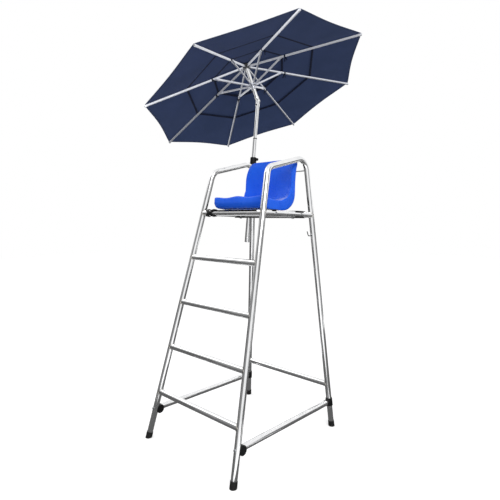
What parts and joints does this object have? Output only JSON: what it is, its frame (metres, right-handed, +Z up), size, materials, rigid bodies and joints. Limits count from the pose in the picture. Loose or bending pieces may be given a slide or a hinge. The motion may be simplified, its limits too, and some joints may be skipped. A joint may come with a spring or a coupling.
{
  "type": "lifeguard chair",
  "caption": "Tall tube-frame lifeguard chair with a ladder front, a moulded bucket seat and a tilting umbrella in a side holder.",
  "frame": {"origin": "on the floor, under the middle of the whole object, umbrella included", "axes": "+Z up, the ladder front faces -Y, +X to the right as seen from the front"},
  "size_m": [1.4952, 1.739, 2.7212],
  "materials": {
    "steel_tube": "polished stainless steel tube",
    "black_plastic": "black moulded nylon",
    "black_rubber": "black rubber",
    "black_steel": "black paint on steel",
    "zinc_steel": "zinc plate",
    "blue_plastic": "blue polythene, satin gloss",
    "pale_aluminium": "clear anodised",
    "navy_cloth": "navy woven polyester"
  },
  "bodies": {
    "chair_frame": {"side_frame_left": "steel_tube", "side_frame_right": "steel_tube", "ladder_rungs": "steel_tube", "seat_front_bar": "steel_tube", "seat_rear_bar": "steel_tube", "lower_rear_bar": "steel_tube", "back_rod": "steel_tube", "seat_rail_left": "steel_tube", "seat_rail_right": "steel_tube", "lower_crossbar_left": "steel_tube", "lower_crossbar_right": "steel_tube", "crossbar_end_fittings": "black_plastic", "crossbar_bolts": "zinc_steel", "foot_caps": "black_rubber", "seat_supports": "black_steel", "seat_fasteners": "zinc_steel", "seat_shell": "blue_plastic", "bag_hook": "steel_tube", "front_bar_tie": "black_steel", "umbrella_holder": "steel_tube", "holder_stop_pin": "steel_tube", "holder_brackets": "steel_tube", "holder_collar": "black_plastic"},
    "clamp_knob": {"clamp_knob": "zinc_steel"},
    "lower_pole": {"lower_pole": "steel_tube", "pole_bush": "black_plastic"},
    "upper_pole": {"upper_pole": "pale_aluminium", "tilt_fork": "pale_aluminium", "tilt_pin": "zinc_steel", "button_spring": "zinc_steel"},
    "tilt_button": {"tilt_button": "zinc_steel"},
    "canopy_pole": {"tilt_knuckle": "pale_aluminium", "canopy_pole": "pale_aluminium", "top_hub": "black_plastic", "finial": "black_plastic"},
    "runner": {"runner": "black_plastic"},
    "rib_1": {"rib_1": "pale_aluminium", "canopy_gore_1": "navy_cloth"},
    "rib_2": {"rib_2": "pale_aluminium", "canopy_gore_2": "navy_cloth"},
    "rib_3": {"rib_3": "pale_aluminium", "canopy_gore_3": "navy_cloth"},
    "rib_4": {"rib_4": "pale_aluminium", "canopy_gore_4": "navy_cloth"},
    "rib_5": {"rib_5": "pale_aluminium", "canopy_gore_5": "navy_cloth"},
    "rib_6": {"rib_6": "pale_aluminium", "canopy_gore_6": "navy_cloth"},
    "rib_7": {"rib_7": "pale_aluminium", "canopy_gore_7": "navy_cloth"},
    "rib_8": {"rib_8": "pale_aluminium", "canopy_gore_8": "navy_cloth"},
    "strut_1": {"strut_1": "pale_aluminium"},
    "strut_2": {"strut_2": "pale_aluminium"},
    "strut_3": {"strut_3": "pale_aluminium"},
    "strut_4": {"strut_4": "pale_aluminium"},
    "strut_5": {"strut_5": "pale_aluminium"},
    "strut_6": {"strut_6": "pale_aluminium"},
    "strut_7": {"strut_7": "pale_aluminium"},
    "strut_8": {"strut_8": "pale_aluminium"}
  },
  "joints": [
    {"name": "clamp_knob_turn", "type": "hinge", "parent": "chair_frame", "child": "clamp_knob", "pos_m": [-0.01249, 0.05338, 1.91345], "axis": [0.9963, 0, -0.0862], "continuous": true},
    {"name": "pole_height", "type": "slide", "parent": "chair_frame", "child": "lower_pole", "axis": [0.0862, 0.0228, 0.996], "range_m": [0, 0.3]},
    {"name": "umbrella_turn", "type": "hinge", "parent": "lower_pole", "child": "upper_pole", "pos_m": [-0.06763, 0.03878, 1.276], "axis": [0.0862, 0.0228, 0.996], "continuous": true},
    {"name": "tilt_button_press", "type": "slide", "parent": "upper_pole", "child": "tilt_button", "axis": [-0.1173, 0.993, -0.0126], "range_m": [0, 0.003], "stiffness_N_per_m": 600, "springref_m": -0.002, "deforming": ["button_spring"]},
    {"name": "umbrella_tilt", "type": "hinge", "parent": "upper_pole", "child": "canopy_pole", "pos_m": [0.02484, 0.06326, 2.345], "axis": [0.1173, -0.993, 0.0126], "range_deg": [-27.15, 12.85]},
    {"name": "runner_slide", "type": "slide", "parent": "canopy_pole", "child": "runner", "axis": [0.3748, 0.0325, -0.9265], "range_m": [0, 0.06]},
    {"name": "rib_1_fold", "type": "hinge", "parent": "canopy_pole", "child": "rib_1", "pos_m": [-0.10321, 0.04758, 2.61078], "axis": [0.2946, -0.9518, 0.0858], "range_deg": [0, 7.42], "deforming": ["canopy_gore_1"]},
    {"name": "rib_2_fold", "type": "hinge", "parent": "canopy_pole", "child": "rib_2", "pos_m": [-0.0939, 0.03591, 2.61414], "axis": [0.8299, -0.4573, 0.3197], "range_deg": [0, 7.42], "deforming": ["canopy_gore_2"]},
    {"name": "rib_3_fold", "type": "hinge", "parent": "canopy_pole", "child": "rib_3", "pos_m": [-0.07974, 0.03464, 2.61982], "axis": [0.8791, 0.3051, 0.3663], "range_deg": [0, 7.42], "deforming": ["canopy_gore_3"]},
    {"name": "rib_4_fold", "type": "hinge", "parent": "canopy_pole", "child": "rib_4", "pos_m": [-0.06904, 0.04454, 2.6245], "axis": [0.4133, 0.8887, 0.1984], "range_deg": [0, 7.42], "deforming": ["canopy_gore_4"]},
    {"name": "rib_5_fold", "type": "hinge", "parent": "canopy_pole", "child": "rib_5", "pos_m": [-0.06805, 0.05978, 2.62543], "axis": [-0.2946, 0.9518, -0.0858], "range_deg": [0, 7.42], "deforming": ["canopy_gore_5"]},
    {"name": "rib_6_fold", "type": "hinge", "parent": "canopy_pole", "child": "rib_6", "pos_m": [-0.07737, 0.07146, 2.62208], "axis": [-0.8299, 0.4573, -0.3197], "range_deg": [0, 7.42], "deforming": ["canopy_gore_6"]},
    {"name": "rib_7_fold", "type": "hinge", "parent": "canopy_pole", "child": "rib_7", "pos_m": [-0.09152, 0.07272, 2.61639], "axis": [-0.8791, -0.3051, -0.3663], "range_deg": [0, 7.42], "deforming": ["canopy_gore_7"]},
    {"name": "rib_8_fold", "type": "hinge", "parent": "canopy_pole", "child": "rib_8", "pos_m": [-0.10223, 0.06283, 2.61172], "axis": [-0.4133, -0.8887, -0.1984], "range_deg": [0, 7.42], "deforming": ["canopy_gore_8"]},
    {"name": "strut_1_swing", "type": "hinge", "parent": "runner", "child": "strut_1", "pos_m": [-0.04321, 0.05301, 2.46498], "axis": [-0.2946, 0.9518, -0.0858], "range_deg": [0, 6.63]},
    {"name": "strut_2_swing", "type": "hinge", "parent": "runner", "child": "strut_2", "pos_m": [-0.03436, 0.04192, 2.46817], "axis": [-0.8299, 0.4573, -0.3197], "range_deg": [0, 6.63]},
    {"name": "strut_3_swing", "type": "hinge", "parent": "runner", "child": "strut_3", "pos_m": [-0.02091, 0.04073, 2.47357], "axis": [-0.8791, -0.3051, -0.3663], "range_deg": [0, 6.63]},
    {"name": "strut_4_swing", "type": "hinge", "parent": "runner", "child": "strut_4", "pos_m": [-0.01074, 0.05012, 2.47801], "axis": [-0.4133, -0.8887, -0.1984], "range_deg": [0, 6.63]},
    {"name": "strut_5_swing", "type": "hinge", "parent": "runner", "child": "strut_5", "pos_m": [-0.0098, 0.06461, 2.4789], "axis": [0.2946, -0.9518, 0.0858], "range_deg": [0, 6.63]},
    {"name": "strut_6_swing", "type": "hinge", "parent": "runner", "child": "strut_6", "pos_m": [-0.01865, 0.07569, 2.4757], "axis": [0.8299, -0.4573, 0.3197], "range_deg": [0, 6.63]},
    {"name": "strut_7_swing", "type": "hinge", "parent": "runner", "child": "strut_7", "pos_m": [-0.0321, 0.07689, 2.47031], "axis": [0.8791, 0.3051, 0.3663], "range_deg": [0, 6.63]},
    {"name": "strut_8_swing", "type": "hinge", "parent": "runner", "child": "strut_8", "pos_m": [-0.04227, 0.0675, 2.46586], "axis": [0.4133, 0.8887, 0.1984], "range_deg": [0, 6.63]}
  ],
  "couplings": [
    {"joint": "rib_1_fold", "follows": "runner_slide", "rad_per_m": 2.0723},
    {"joint": "rib_2_fold", "follows": "runner_slide", "rad_per_m": 2.0723},
    {"joint": "rib_3_fold", "follows": "runner_slide", "rad_per_m": 2.0723},
    {"joint": "rib_4_fold", "follows": "runner_slide", "rad_per_m": 2.0723},
    {"joint": "rib_5_fold", "follows": "runner_slide", "rad_per_m": 2.0723},
    {"joint": "rib_6_fold", "follows": "runner_slide", "rad_per_m": 2.0723},
    {"joint": "rib_7_fold", "follows": "runner_slide", "rad_per_m": 2.0723},
    {"joint": "rib_8_fold", "follows": "runner_slide", "rad_per_m": 2.0723},
    {"joint": "strut_1_swing", "follows": "runner_slide", "rad_per_m": 1.8423},
    {"joint": "strut_2_swing", "follows": "runner_slide", "rad_per_m": 1.8423},
    {"joint": "strut_3_swing", "follows": "runner_slide", "rad_per_m": 1.8423},
    {"joint": "strut_4_swing", "follows": "runner_slide", "rad_per_m": 1.8423},
    {"joint": "strut_5_swing", "follows": "runner_slide", "rad_per_m": 1.8423},
    {"joint": "strut_6_swing", "follows": "runner_slide", "rad_per_m": 1.8423},
    {"joint": "strut_7_swing", "follows": "runner_slide", "rad_per_m": 1.8423},
    {"joint": "strut_8_swing", "follows": "runner_slide", "rad_per_m": 1.8423}
  ]
}
